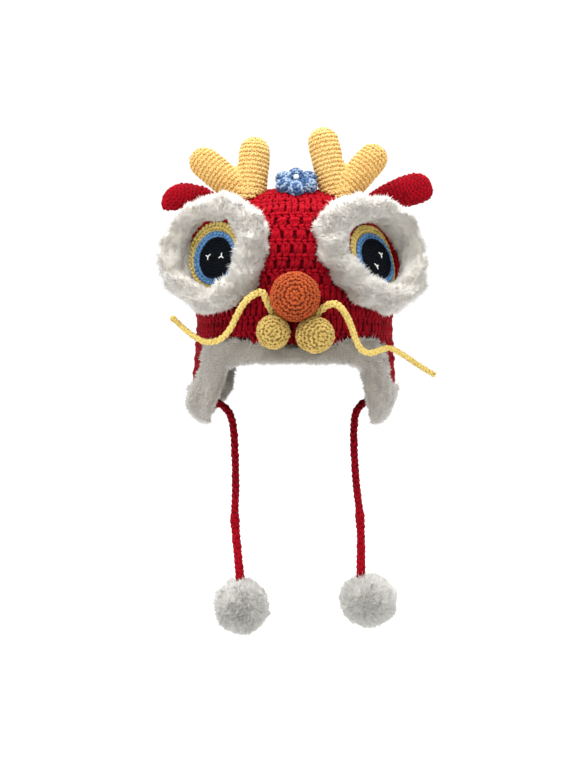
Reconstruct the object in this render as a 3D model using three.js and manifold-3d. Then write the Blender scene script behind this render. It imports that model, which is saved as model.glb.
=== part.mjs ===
// A crocheted festival lion hat for a child: a red crown with two ear flaps, a white plush edging, bulging eyes in
// plush collars, stuffed antlers and ears, a puffed flower, a ball nose with two smaller balls, stiff whiskers, and
// two ties that end in pompoms. Millimetres, +Z up, the front faces -Y, and +X is on the right as the face is seen.
// The origin is on the inside of the crown's top, where the hat sits on the head.
import * as THREE from "three";
import Module from "manifold-3d";
import { mergeVertices } from "three/addons/utils/BufferGeometryUtils.js";

const wasm = await Module();
wasm.setup();

const WOOL = {
  red: { color: 0xb0101f, roughness: 0.92 },
  white: { color: 0xe6e2da, roughness: 1 },
  yellow: { color: 0xe8c766, roughness: 0.9 },
  lemon: { color: 0xe6d27a, roughness: 0.9 },
  blue: { color: 0x5f8cc4, roughness: 0.9 },
  black: { color: 0x0c1016, roughness: 0.9 },
  orange: { color: 0xd2682f, roughness: 0.9 },
  pearl: { color: 0xf2f0ea, roughness: 0.3 },
};

// Driving sizes
const GAP = 0.3; // between two pieces that are sewn together
const CROWN = { halfWidth: 83.3, halfDepth: 90, wall: 5, domeHeight: 95, domePower: 2.8 };
const CROWN_LEVELS = { bendZ: -118, filledToZ: -128 }; // where the wall's side bends, and how far down it is filled
const EQUATOR_Z = CROWN.wall - CROWN.domeHeight; // where the dome turns into straight sides
const DOME_LEANS = [13, 29, 45, 59, 72]; // degrees from the top at which the dome has its rings
const FLAP = { middle: 90, halfSpan: 60, rearFrom: 100, rearTo: 132 }; // degrees round the head
const EDGING = { outside: 3.5, inside: 6.5, lap: 3, ripple: 1.3, roll: 4, taper: 1, foldOut: -1.5 };
const PRESSED = { from: 36, full: 42, until: 64, to: 74, inside: 2.8 }; // the left flap's front edge, worn flat inside

// How far each flap's wall stands out of the crown's oval on its way down, and how far its rear edge curls in.
const HANG = [
  { z: -200, left: -15, right: -18, leftRear: -16, rightRear: 6 },
  { z: -196, left: -9, right: -14, leftRear: -16, rightRear: 6 },
  { z: -190, left: -1, right: -8, leftRear: -16, rightRear: 6 },
  { z: -178, left: 8, right: -1.5, leftRear: -16, rightRear: 6 },
  { z: -163, left: 3.5, right: 3.5, leftRear: -15, rightRear: 4 },
  { z: -152, left: 2.5, right: 4.5, leftRear: -10, rightRear: 2 },
  { z: -140, left: 0, right: 2, leftRear: 0, rightRear: 0 },
  { z: -120, left: 0, right: 0, leftRear: 0, rightRear: 0 },
];

// The lower edge of the red crown, on the left and on the right, and of the white edging below it, by degrees from
// the front.
const HEM = [
  { angle: 0, left: -130, right: -130, whiteZ: -146 },
  { angle: 12, left: -130, right: -130, whiteZ: -146 },
  { angle: 24, left: -129, right: -129, whiteZ: -146 },
  { angle: 34, left: -126, right: -126, whiteZ: -146.5 },
  { angle: 41, left: -125, right: -125, whiteZ: -150 },
  { angle: 44, left: -125, right: -125, whiteZ: -163 },
  { angle: 48, left: -125, right: -125, whiteZ: -177 },
  { angle: 54, left: -126, right: -127, whiteZ: -187 },
  { angle: 60, left: -127, right: -131, whiteZ: -192 },
  { angle: 64, left: -129, right: -139, whiteZ: -194 },
  { angle: 67, left: -150, right: -160, whiteZ: -195 },
  { angle: 74, left: -163, right: -164, whiteZ: -195 },
  { angle: 86, left: -165, right: -165, whiteZ: -194 },
  { angle: 98, left: -163, right: -163, whiteZ: -192 },
  { angle: 108, left: -152, right: -152, whiteZ: -189 },
  { angle: 116, left: -135, right: -135, whiteZ: -184 },
  { angle: 122, left: -124, right: -124, whiteZ: -178 },
  { angle: 127, left: -119, right: -119, whiteZ: -168 },
  { angle: 132, left: -118, right: -118, whiteZ: -154 },
  { angle: 139, left: -118, right: -118, whiteZ: -142 },
  { angle: 152, left: -118, right: -118, whiteZ: -138 },
  { angle: 166, left: -118, right: -118, whiteZ: -138 },
  { angle: 180, left: -118, right: -118, whiteZ: -138 },
];

// The plush collar round each eye: the roll's middle line and half thickness, by degrees from the top outwards.
const COLLARS = {
  left: [
    { turn: 0, reach: 38, half: 10.5 },
    { turn: 33, reach: 38, half: 9.2 },
    { turn: 63, reach: 36, half: 11 },
    { turn: 90, reach: 34.8, half: 12 },
    { turn: 117, reach: 36, half: 11.5 },
    { turn: 147, reach: 36.5, half: 9.4 },
    { turn: 180, reach: 38.5, half: 10.3 },
    { turn: 213, reach: 37, half: 10 },
    { turn: 243, reach: 37, half: 11 },
    { turn: 270, reach: 36, half: 11.5 },
    { turn: 297, reach: 41, half: 11 },
    { turn: 327, reach: 41.5, half: 10.7 },
  ],
  right: [
    { turn: 0, reach: 36, half: 11 },
    { turn: 33, reach: 37, half: 13 },
    { turn: 63, reach: 35, half: 12.5 },
    { turn: 90, reach: 33, half: 11 },
    { turn: 117, reach: 41, half: 13.5 },
    { turn: 147, reach: 41, half: 12 },
    { turn: 180, reach: 35, half: 11.7 },
    { turn: 213, reach: 29, half: 12 },
    { turn: 243, reach: 30, half: 11 },
    { turn: 270, reach: 36, half: 12 },
    { turn: 297, reach: 40.5, half: 13 },
    { turn: 327, reach: 39, half: 11.7 },
  ],
};
const COLLAR = { columns: 16, depth: 34, wallShare: 0.5, drawIn: 5, pile: 1.5, locks: 16, lockSize: [10, 10, 8] };
const COLLAR_TURN = { yaw: 27, pitch: 8 }; // degrees outwards and upwards

// Each eye is a padded base with three discs sewn on it. yaw turns it outwards and pitch upwards, in degrees; the
// iris and the pupil sit off the middle of the rim by `in` towards the nose and by `low` downwards.
const EYES = {
  left: {
    side: -1, at: [-65.8, -61, -54.3], yaw: 38, pitch: 7, collarAt: [-68, -71, -54],
    iris: { in: 2.5, low: 3.2 }, pupil: { in: 5, low: 3.4 },
  },
  right: {
    side: 1, at: [64.7, -58.5, -56], yaw: 45, pitch: 17, collarAt: [62.7, -71, -53.5],
    iris: { in: 0.6, low: 2.6 }, pupil: { in: 1.6, low: 2.8 },
  },
};
const EYE_PAD = { radius: 31, depth: 44, edge: 3 };
const EYE_DISCS = [
  { name: "eye_rim", radius: 27, from: 0.3, to: 1.9, wool: WOOL.lemon },
  { name: "iris", radius: 21.8, from: 2.2, to: 3.4, wool: WOOL.blue },
  { name: "pupil", radius: 16.8, from: 3.7, to: 5, wool: WOOL.black },
];

const ANTLER_RADIUS = 13.4;
const ANTLERS = {
  left: { base: [-37.5, -33, -6], inner: [-33.8, -27, 34.8], outer: [-76, -25, 26.5] },
  right: { base: [35.5, -33, -5], inner: [24.2, -27, 43], outer: [65.5, -25, 29.5] },
};

const EARS = {
  left: { root: [-58, 6, -1], tip: [-115, 10, 5], halfWidth: 12.5, halfThick: 7, droop: 8 },
  right: { root: [56, 6, -7], tip: [119, 10, 14], halfWidth: 14.8, halfThick: 7.5, droop: 2 },
};
const EAR_SHAPE = { power: 2.6, fullness: 0.92, towardsTip: 0.32 };

const FLOWER = { at: [1.3, -43, 8.6], tilt: 36, petals: 6, ring: 11, petal: [8.4, 7.4, 6.4], heart: [9, 9, 3.5] };
const FLOWER_BEAD = { radius: 2.8, lift: 5 };
const NOSE = { at: [0, -103, -91], radius: 20 };
const MOUTH_BALLS = {
  left: { at: [-17.4, -100, -119], size: [13.7, 13.7, 13.7] },
  right: { at: [15.9, -100, -121.3], size: [16, 14.6, 14.6] },
};

// Routes of the stiff whiskers, from beside the nose to the tip.
const WHISKER = { rootRadius: 3, tipRadius: 1.9, steps: 20, sides: 7 };
const WHISKER_ROUTES = {
  left: [
    [-15, -90, -106], [-20, -94.5, -99.5], [-23.3, -98, -92.5], [-26, -100.5, -87.6], [-32, -101, -88.7],
    [-40, -99, -95], [-46.5, -96, -105.5], [-52.3, -91, -116.5], [-60.7, -84, -124.5], [-71.8, -76, -126.4],
    [-81.8, -68, -122], [-91, -60, -115], [-100.5, -54, -106.5],
  ],
  right: [
    [14.5, -90, -106.6], [20.8, -95, -101.2], [26.4, -98, -97.3], [32, -100, -96.6], [36.7, -100, -99.8],
    [41.6, -98, -106.9], [45.7, -96, -116.4], [49, -93, -125.2], [53.2, -89, -132.3], [59.9, -84, -135.4],
    [67.5, -78, -133.7], [76, -72, -131.1], [83.6, -67, -133.5], [93, -62, -139.1], [103.2, -58, -145.7],
    [114.2, -55, -152.2],
  ],
};

// Routes of the hanging ties, from inside the flap down to the pompom.
const TIE = { radius: 3.2, sides: 8, steps: 13 };
const TIE_ROUTES = {
  left: [
    [-78, 33, -176], [-68, 31, -177.5], [-60.5, 27, -181.5], [-55.5, 23, -189], [-53, 20, -201],
    [-51.8, 16, -218], [-51, 13, -244], [-51.6, 11, -278], [-49.8, 10, -300], [-47.2, 10, -328],
    [-46.6, 10, -340],
  ],
  right: [
    [79, 34, -173], [68, 32, -174.5], [60, 28, -177.5], [54.5, 24, -184], [52, 20, -196.5],
    [51.8, 16, -214], [53.4, 13, -244], [56.6, 11, -274], [57.6, 10, -296], [57.5, 10, -324],
    [58.5, 10, -336],
  ],
};
const POMPOMS = {
  left: { at: [-46.3, 10, -352.7], half: [24, 24, 24.6] },
  right: { at: [64, 10, -347.6], half: [25.6, 24.5, 23.4] },
};
const POMPOM = { locks: 20, lockSize: [12, 12, 10], coreShare: 0.86 };

// Small helpers
const radians = THREE.MathUtils.degToRad;
const point = (xyz) => new THREE.Vector3(...xyz);
const turnTo = (from, to) => new THREE.Quaternion().setFromUnitVectors(from, to.clone().normalize());
const UNSCALED = new THREE.Vector3(1, 1, 1);
const GOLDEN_TURN = Math.PI * (3 - Math.sqrt(5));

// The value of one column of a table between its rows; keyName is the column that grows.
function between(table, keyName, key, column) {
  const next = Math.max(1, table.findIndex((row) => row[keyName] >= key));
  const [low, high] = [table[next - 1], table[next]];
  return THREE.MathUtils.mapLinear(key, low[keyName], high[keyName], low[column], high[column]);
}

// Skins a row of closed outlines with as many points each. A round row joins its last outline to its first.
function skinned(outlines) {
  const count = outlines.length;
  const size = outlines[0].length;
  const faces = [];
  for (let i = 0; i < count; i++) {
    for (let j = 0; j < size; j++) {
      const [near, far] = [i * size, ((i + 1) % count) * size];
      const next = (j + 1) % size;
      faces.push([near + j, far + j, near + next], [near + next, far + j, far + next]);
    }
  }
  const geometry = new THREE.BufferGeometry().setFromPoints(outlines.flat());
  geometry.setIndex(faces.flat());
  return geometry;
}

// A closed three.js geometry as a solid that can be cut and joined.
function toSolid(geometry) {
  const bare = geometry.index ? geometry.toNonIndexed() : geometry.clone();
  const points = new THREE.BufferGeometry().setAttribute("position", bare.getAttribute("position"));
  const merged = mergeVertices(points, 1e-3);
  const corners = merged.index.array;
  const faces = [];
  for (let i = 0; i < corners.length; i += 3) {
    const face = [corners[i], corners[i + 1], corners[i + 2]];
    if (new Set(face).size === 3) faces.push(...face);
  }
  const vertProperties = merged.attributes.position.array;
  return new wasm.Manifold(new wasm.Mesh({ numProp: 3, vertProperties, triVerts: new Uint32Array(faces) }));
}

function toGeometry(solid) {
  const mesh = solid.getMesh();
  const geometry = new THREE.BufferGeometry();
  geometry.setAttribute("position", new THREE.BufferAttribute(mesh.vertProperties, 3));
  geometry.setIndex(new THREE.BufferAttribute(mesh.triVerts, 1));
  return geometry;
}

const placed = (solid, matrix) => solid.transform(matrix.elements);
const joined = (solids) => solids.reduce((all, solid) => all.add(solid));
const cut = (solid, ...cutters) => cutters.reduce((left, cutter) => left.subtract(cutter), solid);

// The largest body of a solid that cutting may have left in several.
function mainBody(solid) {
  return solid.decompose().reduce((best, body) => (body.volume() > best.volume() ? body : best));
}

// Adds a piece to a group. The solid is in the hat's frame, and place is where its mesh stands in that frame.
function sew(group, name, solid, wool, place = new THREE.Matrix4()) {
  const geometry = toGeometry(placed(mainBody(solid), place.clone().invert()));
  geometry.computeVertexNormals();
  const made = new THREE.Mesh(geometry, new THREE.MeshStandardMaterial({ ...wool, metalness: 0 }));
  made.name = name;
  group.updateMatrixWorld();
  made.applyMatrix4(group.matrixWorld.clone().invert().multiply(place));
  group.add(made);
}

const moved = (at) => new THREE.Matrix4().setPosition(point(at));

// A place on the hat whose own +Z faces out, at a yaw to the side and a pitch upwards.
function facing(at, yaw, pitch) {
  const out = new THREE.Vector3(
    Math.sin(radians(yaw)) * Math.cos(radians(pitch)),
    -Math.cos(radians(yaw)) * Math.cos(radians(pitch)),
    Math.sin(radians(pitch)),
  );
  const across = new THREE.Vector3().crossVectors(new THREE.Vector3(0, 0, 1), out).normalize();
  const up = new THREE.Vector3().crossVectors(out, across);
  return new THREE.Matrix4().makeBasis(across, up, out).setPosition(point(at));
}

// A lock of pile: a four-sided lump whose point stands out of what it grows on. size is across, across and out.
function lock(root, direction, size) {
  const lump = new THREE.OctahedronGeometry(1, 0).scale(...size);
  const turn = turnTo(new THREE.Vector3(0, 0, 1), direction);
  return placed(toSolid(lump), new THREE.Matrix4().compose(root, turn, UNSCALED));
}

// How far the wall hangs out of the crown's oval at an angle and height: only the flaps do.
function hangOut(angle, z) {
  const side = angle < 0 ? "left" : "right";
  const across = (Math.abs(angle) - FLAP.middle) / FLAP.halfSpan;
  const rear = THREE.MathUtils.smoothstep(Math.abs(angle), FLAP.rearFrom, FLAP.rearTo);
  const height = THREE.MathUtils.clamp(z, HANG[0].z, HANG.at(-1).z);
  const out = between(HANG, "z", height, side) * Math.max(0, 1 - across ** 2);
  return out + rear * between(HANG, "z", height, `${side}Rear`);
}

// A point on the straight side or a flap. Angles are degrees from the front, towards +X.
function sidePoint(angle, z, offset) {
  const out = offset + hangOut(angle, z);
  const turn = radians(angle);
  return new THREE.Vector3(
    (CROWN.halfWidth + out) * Math.sin(turn),
    -(CROWN.halfDepth + out) * Math.cos(turn),
    z,
  );
}

// A point on the dome. lean is 0 at the top and 90 where the sides begin.
function domePoint(angle, lean, offset) {
  const round = 2 / CROWN.domePower;
  const outward = Math.sin(radians(lean)) ** round;
  const upward = Math.cos(radians(lean)) ** round;
  return new THREE.Vector3(
    (CROWN.halfWidth + offset) * outward * Math.sin(radians(angle)),
    -(CROWN.halfDepth + offset) * outward * Math.cos(radians(angle)),
    EQUATOR_Z + (CROWN.domeHeight + offset) * (lean >= 90 ? 0 : upward),
  );
}

// The angles of the crown's columns, all round: the hem table's rows on both sides.
function columnAngles() {
  const half = HEM.map((row) => row.angle);
  const others = half.slice(1, -1).map((angle) => -angle).reverse();
  return [...others, ...half];
}

// How high the red crown's lower edge is at an angle.
function redEdge(angle) {
  return between(HEM, "angle", Math.abs(angle), angle < 0 ? "left" : "right");
}

// The crown's wall with its flaps, grown on every face by `grow`.
function crownSolid(grow) {
  const inside = -CROWN.wall - grow;
  const outlines = columnAngles().map((angle) => {
    const hemZ = redEdge(angle) - grow;
    const middleZ = Math.max(CROWN_LEVELS.bendZ, hemZ + 2);
    const inner = DOME_LEANS.filter((lean, i) => i % 2).map((lean) => domePoint(angle, lean, inside));
    const outer = DOME_LEANS.map((lean) => domePoint(angle, lean, grow));
    return [
      domePoint(angle, 0, inside),
      ...inner,
      sidePoint(angle, EQUATOR_Z, inside),
      sidePoint(angle, middleZ, inside),
      sidePoint(angle, hemZ, inside),
      sidePoint(angle, hemZ, grow),
      sidePoint(angle, middleZ, grow),
      sidePoint(angle, EQUATOR_Z, grow),
      ...outer.reverse(),
      domePoint(angle, 0, grow),
    ];
  });
  return toSolid(skinned(outlines));
}

// Everything inside the crown's outer face, filled: what a sewn-on piece must stay clear of.
function crownFilled(grow) {
  const bottomZ = CROWN_LEVELS.filledToZ;
  const outlines = columnAngles().map((angle) => [
    new THREE.Vector3(0, 0, bottomZ),
    sidePoint(angle, bottomZ, grow),
    sidePoint(angle, EQUATOR_Z, grow),
    ...DOME_LEANS.toReversed().map((lean) => domePoint(angle, lean, grow)),
    domePoint(angle, 0, grow),
  ]);
  return toSolid(skinned(outlines));
}

// How much thinner the edging is inside where the left flap's front edge is worn flat.
function pressedFlat(angle) {
  const begun = THREE.MathUtils.smoothstep(-angle, PRESSED.from, PRESSED.full);
  const over = THREE.MathUtils.smoothstep(-angle, PRESSED.until, PRESSED.to);
  return (EDGING.inside - PRESSED.inside) * (begun - over);
}

// The white edging: a thick plush band worked on the red hem, its pile in upright strips that stand in and out.
function edgingSolid(grow) {
  const outlines = columnAngles().map((angle, column) => {
    const topZ = redEdge(angle) + EDGING.lap;
    const lowZ = between(HEM, "angle", Math.abs(angle), "whiteZ");
    const middleZ = (topZ + lowZ) / 2;
    const ripple = column % 2 ? EDGING.ripple : 0;
    const inside = EDGING.inside - pressedFlat(angle);
    const section = [
      { out: -inside + EDGING.taper, z: topZ - EDGING.lap },
      { out: -inside + ripple, z: middleZ },
      { out: -inside + EDGING.taper, z: lowZ + EDGING.roll - ripple },
      { out: EDGING.foldOut, z: lowZ + ripple },
      { out: EDGING.outside - EDGING.taper / 2, z: lowZ + EDGING.roll },
      { out: EDGING.outside - ripple, z: middleZ },
      { out: EDGING.outside - EDGING.taper, z: topZ - ripple },
    ];
    return section.map(({ out, z }) => sidePoint(angle, z, out + grow * Math.sign(out)));
  });
  return toSolid(skinned(outlines));
}

// The roll's middle line and half thickness at a turn round a collar, from its table.
function rollAt(rows, turn) {
  const closed = [...rows, { ...rows[0], turn: 360 }];
  return { reach: between(closed, "turn", turn, "reach"), half: between(closed, "turn", turn, "half") };
}

// One plush collar: a thick roll whose back runs down to the crown. In its own frame +Z faces out and +Y is up.
function collarSolid(side, rows, grow) {
  const outlines = [];
  for (let column = 0; column < COLLAR.columns; column++) {
    const turn = (column * 360) / COLLAR.columns;
    const { reach, half } = rollAt(rows, turn);
    const wide = half + grow - COLLAR.pile;
    const section = [
      { out: reach - wide, up: 0 },
      { out: reach - COLLAR.drawIn - wide * COLLAR.wallShare, up: -COLLAR.depth },
      { out: reach - COLLAR.drawIn + wide * COLLAR.wallShare, up: -COLLAR.depth },
      { out: reach + wide * 0.95, up: -4 },
      { out: reach + wide * 0.8, up: wide * 0.6 },
      { out: reach, up: wide },
      { out: reach - wide * 0.75, up: wide * 0.65 },
    ];
    const outline = section.map(({ out, up }) => (
      new THREE.Vector3(side * out * Math.sin(radians(turn)), out * Math.cos(radians(turn)), up)
    ));
    outlines.push(side > 0 ? outline.reverse() : outline);
  }
  return toSolid(skinned(outlines));
}

// Locks of pile round a collar, by turns leaning outwards and facing forwards.
function collarLocks(side, rows) {
  const locks = [];
  for (let i = 0; i < COLLAR.locks; i++) {
    const turn = ((i + 0.5) * 360) / COLLAR.locks;
    const { reach, half } = rollAt(rows, turn);
    const lean = radians(i % 2 ? 80 : 20);
    const along = new THREE.Vector3(side * Math.sin(radians(turn)), Math.cos(radians(turn)), 0);
    const direction = along.clone().multiplyScalar(Math.sin(lean)).setZ(Math.cos(lean));
    const tip = half + COLLAR.pile - COLLAR.lockSize[2];
    const root = along.clone().multiplyScalar(reach).addScaledVector(direction, tip);
    locks.push(lock(root, direction, COLLAR.lockSize));
  }
  return joined(locks);
}

// A disc or pad in its own frame, from height `from` to `to`, with its front edge taken off.
function puck(radius, from, to, edge) {
  const profile = [
    [0, from], [radius, from], [radius, to - edge], [radius - edge, to], [0, to],
  ];
  const lathe = new THREE.LatheGeometry(profile.map(([r, y]) => new THREE.Vector2(r, y)), 20);
  return lathe.rotateX(Math.PI / 2);
}

// An antler: two stuffed prongs that start from the same root.
function antlerSolid({ base, inner, outer }, grow) {
  const root = point(base);
  const prongs = [inner, outer].map((tip) => {
    const along = point(tip).sub(root);
    const prong = new THREE.CapsuleGeometry(ANTLER_RADIUS + grow, along.length(), 3, 12);
    prong.translate(0, along.length() / 2, 0);
    const turn = turnTo(new THREE.Vector3(0, 1, 0), along);
    return placed(toSolid(prong), new THREE.Matrix4().compose(root, turn, UNSCALED));
  });
  return joined(prongs);
}

// A stuffed ear shaped like a paddle, fuller towards its blunt tip, that droops a little.
function earSolid({ root, tip, halfWidth, halfThick, droop }, grow) {
  const [start, end] = [point(root), point(tip)];
  const halfLength = start.distanceTo(end) / 2;
  const blunt = 2 / EAR_SHAPE.power;
  const paddle = new THREE.SphereGeometry(1, 12, 9).rotateZ(Math.PI / 2);
  const position = paddle.getAttribute("position");
  for (let i = 0; i < position.count; i++) {
    const along = Math.sign(position.getX(i)) * Math.abs(position.getX(i)) ** blunt;
    const ring = Math.max(Math.hypot(position.getY(i), position.getZ(i)), 1e-6);
    const [wide, thick] = [position.getY(i), position.getZ(i)].map((share) => share * ring ** (blunt - 1));
    const fullness = EAR_SHAPE.fullness * (1 + EAR_SHAPE.towardsTip * along);
    position.setXYZ(
      i,
      along * (halfLength + grow),
      wide * (halfWidth * fullness + grow) - droop * along ** 2,
      thick * (halfThick * fullness + grow),
    );
  }
  const axis = end.clone().sub(start).normalize();
  const front = new THREE.Vector3(0, -1, 0);
  const up = new THREE.Vector3().crossVectors(front, axis).normalize();
  if (up.z < 0) up.negate();
  const across = new THREE.Vector3().crossVectors(axis, up);
  const middle = start.clone().add(end).multiplyScalar(0.5);
  return placed(toSolid(paddle), new THREE.Matrix4().makeBasis(axis, up, across).setPosition(middle));
}

function ball({ at, size }, grow, columns = 14, rows = 9) {
  const [x, y, z] = size.map((half) => half + grow);
  const geometry = new THREE.SphereGeometry(1, columns, rows).rotateX(Math.PI / 2).scale(x, y, z);
  return toSolid(geometry.translate(...at));
}

// The flower's petals, each a puffed bobble, joined in the middle.
function flowerSolid(grow) {
  const petals = [];
  for (let i = 0; i < FLOWER.petals; i++) {
    const turn = ((i + 0.5) * 2 * Math.PI) / FLOWER.petals;
    const petal = new THREE.SphereGeometry(1, 7, 5);
    petal.scale(...FLOWER.petal.map((half) => half + grow));
    petals.push(toSolid(petal.translate(FLOWER.ring, 0, 0).rotateZ(turn)));
  }
  const heart = toSolid(new THREE.SphereGeometry(1, 10, 7).scale(...FLOWER.heart.map((half) => half + grow)));
  return placed(joined([...petals, heart]), facing(FLOWER.at, 0, 90 - FLOWER.tilt));
}

function beadSolid(grow) {
  const bead = new THREE.SphereGeometry(FLOWER_BEAD.radius + grow, 8, 6).translate(0, 0, FLOWER_BEAD.lift);
  return placed(toSolid(bead), facing(FLOWER.at, 0, 90 - FLOWER.tilt));
}

// A stiff whisker: a rod that narrows from its root to its tip, bent along its route.
function whiskerSolid(route) {
  const curve = new THREE.CatmullRomCurve3(route.map(point), false, "centripetal");
  const frames = curve.computeFrenetFrames(WHISKER.steps, false);
  const rod = new THREE.CylinderGeometry(WHISKER.tipRadius, WHISKER.rootRadius, 1, WHISKER.sides, WHISKER.steps);
  const position = rod.getAttribute("position");
  for (let i = 0; i < position.count; i++) {
    const step = Math.round((position.getY(i) + 0.5) * WHISKER.steps);
    const place = curve.getPointAt(step / WHISKER.steps);
    place.addScaledVector(frames.normals[step], position.getX(i));
    place.addScaledVector(frames.binormals[step], -position.getZ(i));
    position.setXYZ(i, place.x, place.y, place.z);
  }
  return toSolid(rod);
}

// A tie: an even round cord swept along its route.
function tieSolid(route, grow) {
  const round = new THREE.Shape().absarc(0, 0, TIE.radius + grow, 0, 2 * Math.PI);
  const extrudePath = new THREE.CatmullRomCurve3(route.map(point), false, "centripetal");
  const sweep = { steps: TIE.steps, extrudePath, curveSegments: TIE.sides / 2 };
  return toSolid(new THREE.ExtrudeGeometry(round, sweep));
}

// A pompom: a round core with locks spread evenly all over it.
function pompomSolid({ at, half }) {
  const core = new THREE.IcosahedronGeometry(POMPOM.coreShare, 1).scale(...half);
  const solids = [toSolid(core)];
  for (let i = 0; i < POMPOM.locks; i++) {
    const up = 1 - (2 * (i + 0.5)) / POMPOM.locks;
    const flat = Math.sqrt(1 - up * up);
    const direction = new THREE.Vector3(flat * Math.cos(i * GOLDEN_TURN), flat * Math.sin(i * GOLDEN_TURN), up);
    const root = direction.clone().multiply(point(half)).addScaledVector(direction, -POMPOM.lockSize[2]);
    solids.push(lock(root, direction, POMPOM.lockSize));
  }
  return joined(solids).translate(at);
}

// The hat, piece by piece. What is sewn on later is cut clear of what it lies on.
const hat = new THREE.Group();
const head = joined([crownFilled(GAP), crownSolid(GAP)]);
sew(hat, "crown", crownSolid(0), WOOL.red);

const nose = (grow) => ball({ at: NOSE.at, size: [NOSE.radius, NOSE.radius, NOSE.radius] }, grow, 18, 11);
sew(hat, "nose", cut(nose(0), head), WOOL.orange, moved(NOSE.at));

const mouthBalls = (grow) => Object.values(MOUTH_BALLS).map((size) => ball(size, grow));
for (const [side, size] of Object.entries(MOUTH_BALLS)) {
  sew(hat, `mouth_ball_${side}`, cut(ball(size, 0), head, nose(GAP)), WOOL.lemon, moved(size.at));
}

sew(hat, "plush_edging", cut(edgingSolid(0), crownSolid(GAP), ...mouthBalls(GAP)), WOOL.white);

for (const [side, eye] of Object.entries(EYES)) {
  // The eye stands in a group of its own, whose +Z faces out of the pad.
  const eyePlace = facing(eye.at, eye.side * eye.yaw, eye.pitch);
  const eyeGroup = new THREE.Group();
  eyeGroup.applyMatrix4(eyePlace);
  hat.add(eyeGroup);
  const pad = (grow) => {
    const stuffed = puck(EYE_PAD.radius + grow, -EYE_PAD.depth, grow, EYE_PAD.edge);
    return placed(toSolid(stuffed), eyePlace);
  };
  sew(eyeGroup, `eye_pad_${side}`, cut(pad(0), head), WOOL.red, eyePlace);
  const discs = (grow) => EYE_DISCS.map(({ name, radius, from, to }) => {
    const off = eye[name] ?? { in: 0, low: 0 };
    const disc = puck(radius + grow, from - grow, to + grow, 0.5).translate(-eye.side * off.in, -off.low, 0);
    return placed(toSolid(disc), eyePlace);
  });
  discs(0).forEach((disc, i) => {
    sew(eyeGroup, `${EYE_DISCS[i].name}_${side}`, disc, EYE_DISCS[i].wool, eyePlace);
  });

  const collarPlace = facing(eye.collarAt, eye.side * COLLAR_TURN.yaw, COLLAR_TURN.pitch);
  const plush = joined([collarSolid(eye.side, COLLARS[side], 0), collarLocks(eye.side, COLLARS[side])]);
  const collar = cut(placed(plush, collarPlace), head, pad(GAP), ...discs(GAP));
  sew(hat, `eye_collar_${side}`, collar, WOOL.white, collarPlace);

  const collarGrown = placed(collarSolid(eye.side, COLLARS[side], 3), collarPlace);
  const antler = cut(antlerSolid(ANTLERS[side], 0), head, collarGrown, pad(GAP), flowerSolid(GAP));
  sew(hat, `antler_${side}`, antler, WOOL.yellow, moved(ANTLERS[side].base));
  const ear = cut(earSolid(EARS[side], 0), head, collarGrown, pad(GAP), antlerSolid(ANTLERS[side], GAP));
  sew(hat, `ear_${side}`, ear, WOOL.red, moved(EARS[side].root));

  const whisker = whiskerSolid(WHISKER_ROUTES[side]);
  sew(hat, `whisker_${side}`, cut(whisker, head, nose(GAP), ...mouthBalls(GAP)), WOOL.lemon);

  const tie = cut(tieSolid(TIE_ROUTES[side], 0), edgingSolid(GAP), crownSolid(GAP));
  sew(hat, `tie_${side}`, tie, WOOL.red);
  const pompom = cut(pompomSolid(POMPOMS[side]), tieSolid(TIE_ROUTES[side], GAP));
  sew(hat, `pompom_${side}`, pompom, WOOL.white, moved(POMPOMS[side].at));
}

sew(hat, "flower", cut(flowerSolid(0), head, beadSolid(GAP)), WOOL.blue, moved(FLOWER.at));
sew(hat, "flower_bead", beadSolid(0), WOOL.pearl, moved(FLOWER.at));

export default hat;
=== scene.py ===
import math

import bmesh
import bpy
import numpy as np
from mathutils import Matrix, Vector
from mathutils.bvhtree import BVHTree
from mathutils.kdtree import KDTree


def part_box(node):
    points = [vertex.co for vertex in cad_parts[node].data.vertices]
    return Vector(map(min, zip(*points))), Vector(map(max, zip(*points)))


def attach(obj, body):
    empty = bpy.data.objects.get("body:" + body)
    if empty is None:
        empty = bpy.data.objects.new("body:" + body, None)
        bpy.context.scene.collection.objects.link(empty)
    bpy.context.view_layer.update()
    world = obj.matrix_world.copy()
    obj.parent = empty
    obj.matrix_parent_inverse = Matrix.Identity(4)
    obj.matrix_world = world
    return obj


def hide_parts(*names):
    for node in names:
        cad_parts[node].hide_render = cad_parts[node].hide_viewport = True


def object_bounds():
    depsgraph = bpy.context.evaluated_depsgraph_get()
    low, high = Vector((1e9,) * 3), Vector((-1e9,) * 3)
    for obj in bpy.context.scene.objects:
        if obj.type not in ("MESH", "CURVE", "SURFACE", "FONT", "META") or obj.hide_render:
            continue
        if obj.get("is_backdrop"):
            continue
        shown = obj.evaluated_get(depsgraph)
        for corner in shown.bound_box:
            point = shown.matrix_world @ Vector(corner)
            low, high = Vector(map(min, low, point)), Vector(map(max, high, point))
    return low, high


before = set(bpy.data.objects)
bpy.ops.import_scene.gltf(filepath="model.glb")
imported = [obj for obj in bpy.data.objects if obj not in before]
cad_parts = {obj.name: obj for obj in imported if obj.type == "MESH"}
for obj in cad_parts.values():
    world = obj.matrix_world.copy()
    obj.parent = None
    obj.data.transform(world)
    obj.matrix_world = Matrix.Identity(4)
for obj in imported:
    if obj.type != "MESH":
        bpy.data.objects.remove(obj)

cad_low, cad_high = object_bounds()


# The camera stands where the photograph was taken from: level with the ear flaps and 1.4 m
# in front of the ears, so that the nose looks a little larger than it is.
mm = 0.001
CAMERA_PLACE = (-5.6 * mm, -1.4, -160.5 * mm)
CAMERA_LENS, CAMERA_SENSOR = 76.3, 36


def put_in_scene(name, data):
    """A new object in the scene, at the origin, unturned and unscaled."""
    placed = bpy.data.objects.new(name, data)
    bpy.context.scene.collection.objects.link(placed)
    return placed


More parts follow.
